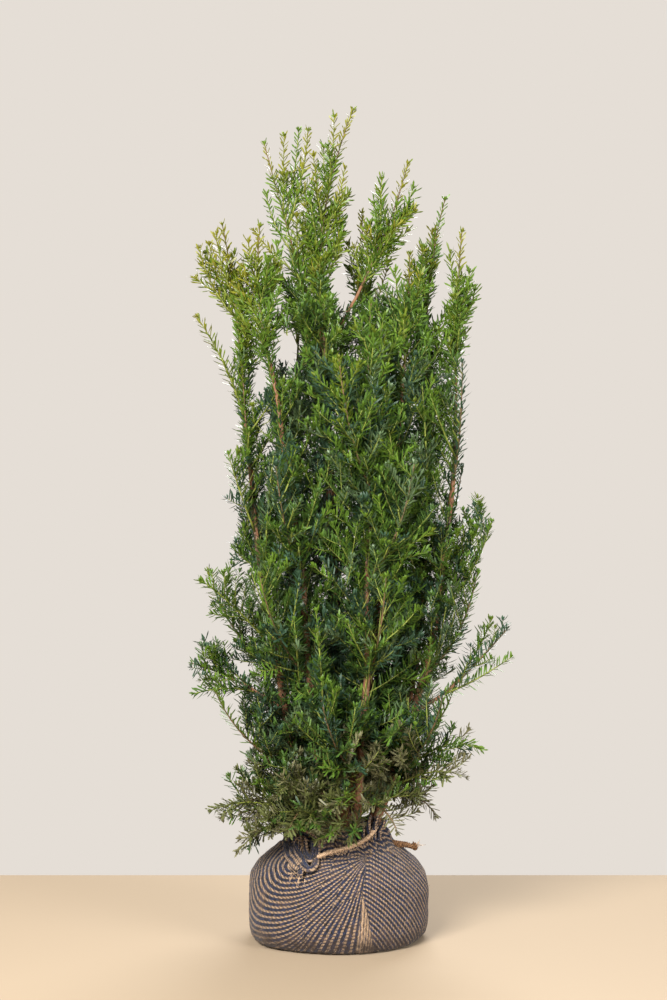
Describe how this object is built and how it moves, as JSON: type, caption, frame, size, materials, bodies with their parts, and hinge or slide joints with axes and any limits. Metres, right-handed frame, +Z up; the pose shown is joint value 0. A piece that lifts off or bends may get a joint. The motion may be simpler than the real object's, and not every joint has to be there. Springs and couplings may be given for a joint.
{
  "type": "yew sapling with root ball",
  "caption": "Upright bushy evergreen sapling with several stems, standing on a cloth-wrapped root ball.",
  "frame": {"origin": "middle of the flat underside of the root ball", "axes": "+Z up along the plant, +X to the right and -Y towards the viewer of the picture"},
  "size_m": [0.5281, 0.3853, 1.361],
  "materials": {
    "cloth": "coarse knitted jute in dark and tan rows, soiled at the foot",
    "bark": "thin flaking reddish-brown bark, green on young shoots",
    "foliage": "flat glossy needles, dark green inside and yellow-green at the tips"
  },
  "bodies": {
    "root": {"root_ball": "cloth", "front_knot": "cloth", "side_tail": "cloth", "cloth_neck": "cloth", "stem_leader": "bark", "stem_front": "bark", "stem_right": "bark", "stem_left": "bark", "stem_mid_left": "bark", "stem_outer_right": "bark", "stem_back_left": "bark", "stem_back_right": "bark", "stem_front_mid": "bark", "bough_high_right": "bark", "bough_low_left": "bark", "bough_low_right": "bark", "foliage_leader": "foliage", "foliage_front": "foliage", "foliage_right": "foliage", "foliage_left": "foliage", "foliage_mid_left": "foliage", "foliage_outer_right": "foliage", "foliage_back_left": "foliage", "foliage_back_right": "foliage", "foliage_front_mid": "foliage", "foliage_high_right": "foliage", "foliage_low_left": "foliage", "foliage_low_right": "foliage", "foliage_leader_fan": "foliage", "foliage_skirt_1": "foliage", "foliage_skirt_2": "foliage", "foliage_skirt_3": "foliage", "foliage_skirt_4": "foliage", "foliage_skirt_5": "foliage", "foliage_skirt_6": "foliage", "foliage_low_1": "foliage", "foliage_low_2": "foliage", "foliage_low_3": "foliage", "foliage_low_4": "foliage", "foliage_low_5": "foliage", "foliage_low_6": "foliage", "foliage_middle_1": "foliage", "foliage_middle_2": "foliage", "foliage_middle_3": "foliage", "foliage_middle_4": "foliage", "foliage_middle_5": "foliage", "foliage_middle_6": "foliage", "foliage_upper_1": "foliage", "foliage_upper_2": "foliage", "foliage_upper_3": "foliage", "foliage_upper_4": "foliage", "foliage_upper_5": "foliage", "foliage_high_1": "foliage", "foliage_high_2": "foliage", "foliage_high_3": "foliage", "foliage_high_4": "foliage", "foliage_high_5": "foliage", "foliage_crest_1": "foliage", "foliage_crest_2": "foliage", "foliage_crest_3": "foliage"}
  },
  "joints": []
}
